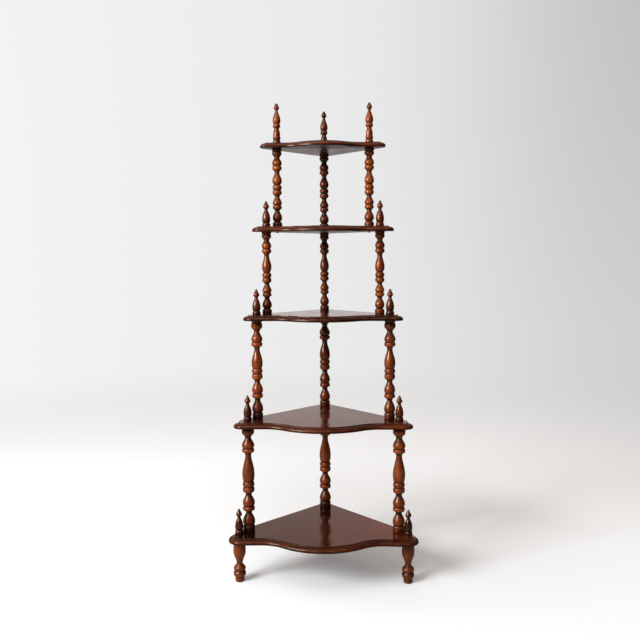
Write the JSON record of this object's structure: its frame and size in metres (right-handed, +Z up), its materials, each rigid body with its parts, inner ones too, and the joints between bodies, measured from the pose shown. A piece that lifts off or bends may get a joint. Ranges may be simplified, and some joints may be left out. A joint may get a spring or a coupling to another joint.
{
  "type": "corner etagere",
  "caption": "Tall corner etagere with graduated serpentine shelves on turned spindles, turned legs and finials.",
  "frame": {"origin": "on the floor, on the axis of the back leg", "axes": "+Z up, -Y towards the viewer in front of the corner, +Y into the corner of the room, +X to the viewer's right"},
  "size_m": [0.5964, 0.4008, 1.5158],
  "materials": {
    "shelf_wood": "dark reddish-brown walnut stain, semi-gloss",
    "turned_wood": "warm reddish-brown stain, glossy",
    "screw_steel": "dull"
  },
  "bodies": {
    "root": {"leg_left": "turned_wood", "leg_right": "turned_wood", "leg_back": "turned_wood", "shelf_1": "shelf_wood", "shelf_2": "shelf_wood", "shelf_3": "shelf_wood", "shelf_4": "shelf_wood", "shelf_5": "shelf_wood", "spindle_1_left": "turned_wood", "spindle_1_right": "turned_wood", "spindle_1_back": "turned_wood", "spindle_2_left": "turned_wood", "spindle_2_right": "turned_wood", "spindle_2_back": "turned_wood", "spindle_3_left": "turned_wood", "spindle_3_right": "turned_wood", "spindle_3_back": "turned_wood", "spindle_4_left": "turned_wood", "spindle_4_right": "turned_wood", "spindle_4_back": "turned_wood", "finial_1_left": "turned_wood", "finial_1_right": "turned_wood", "finial_2_left": "turned_wood", "finial_2_right": "turned_wood", "finial_3_left": "turned_wood", "finial_3_right": "turned_wood", "finial_4_left": "turned_wood", "finial_4_right": "turned_wood", "top_finial_left": "turned_wood", "top_finial_right": "turned_wood", "top_finial_back": "turned_wood", "dowel_screw_1_left": "screw_steel", "dowel_screw_1_right": "screw_steel", "dowel_screw_1_back": "screw_steel", "dowel_screw_2_left": "screw_steel", "dowel_screw_2_right": "screw_steel", "dowel_screw_2_back": "screw_steel", "dowel_screw_3_left": "screw_steel", "dowel_screw_3_right": "screw_steel", "dowel_screw_3_back": "screw_steel", "dowel_screw_4_left": "screw_steel", "dowel_screw_4_right": "screw_steel", "dowel_screw_4_back": "screw_steel", "dowel_screw_5_left": "screw_steel", "dowel_screw_5_right": "screw_steel", "dowel_screw_5_back": "screw_steel", "wood_screw_1_left": "screw_steel", "wood_screw_1_right": "screw_steel", "wood_screw_2_left": "screw_steel", "wood_screw_2_right": "screw_steel", "wood_screw_3_left": "screw_steel", "wood_screw_3_right": "screw_steel", "wood_screw_4_left": "screw_steel", "wood_screw_4_right": "screw_steel"}
  },
  "joints": []
}
